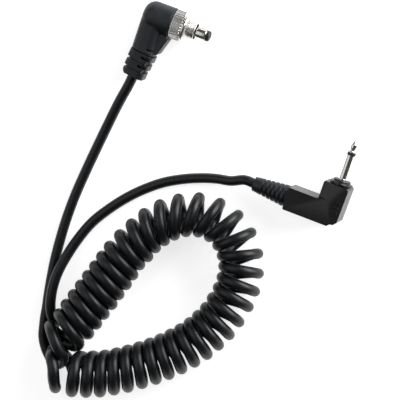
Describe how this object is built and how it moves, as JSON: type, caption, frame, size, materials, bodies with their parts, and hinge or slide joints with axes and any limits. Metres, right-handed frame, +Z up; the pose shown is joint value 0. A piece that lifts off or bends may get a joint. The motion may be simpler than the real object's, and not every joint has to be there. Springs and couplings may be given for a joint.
{
  "type": "coiled flash sync cord",
  "caption": "Curly black flash sync cord with a right-angle screw-lock coaxial plug at one end and a right-angle miniature jack plug at the other, lying in a loop.",
  "frame": {"origin": "on the surface the cord lies on, under the middle of the box round the two plugs; the free cord and its curl are left out of that box", "axes": "+Z up from the surface; +X to the right and +Y away as the lead lies, with the plugs turned 18.7 and 19 degrees clockwise from them"},
  "size_m": [0.0997, 0.1215, 0.0142],
  "materials": {
    "elbow_plastic": "satin moulded black",
    "relief_plastic": "satin soft moulded black",
    "case_plastic": "semi-gloss moulded black",
    "collar_plastic": "satin moulded black",
    "cable_jacket": "satin extruded black",
    "insulator_plastic": "satin moulded black",
    "white_plastic": "matte",
    "ring_nickel": "bright nickel plate",
    "contact_nickel": "bright nickel plate",
    "pin_nickel": "bright nickel plate",
    "brass": "turned",
    "tinned_steel": "pressed, tinned",
    "tinned_wire": "tinned strands"
  },
  "bodies": {
    "cord": {"pc_housing": "elbow_plastic", "pc_strain_relief": "relief_plastic", "pc_barrel": "contact_nickel", "pc_outer_contact": "contact_nickel", "pc_insulator": "insulator_plastic", "pc_centre_pin": "brass", "pc_cable_end": "cable_jacket", "pc_cable_crimp": "tinned_steel", "pc_core_wire": "tinned_wire", "pc_braid_tail": "tinned_wire", "lead_pc": "cable_jacket", "curl": "cable_jacket", "lead_jack": "cable_jacket", "jack_boot": "relief_plastic", "jack_cable_end": "cable_jacket", "jack_cable_crimp": "tinned_steel", "jack_case_front": "case_plastic", "jack_case_back": "case_plastic", "jack_collar": "collar_plastic", "jack_sleeve": "pin_nickel", "jack_ring_insulator": "insulator_plastic", "jack_inner_tube": "white_plastic", "jack_tip": "pin_nickel", "jack_sleeve_lug": "brass", "jack_back_washer": "white_plastic", "jack_tip_lug": "brass", "jack_core_wire": "tinned_wire", "jack_braid_wire": "tinned_wire"},
    "lock_ring": {"pc_lock_ring": "ring_nickel"}
  },
  "joints": [
    {"name": "lock_ring_turn", "type": "hinge", "parent": "cord", "child": "lock_ring", "pos_m": [-0.01843, 0.0257, 0.0047], "axis": [0.9472, -0.3206, 0], "continuous": true}
  ]
}
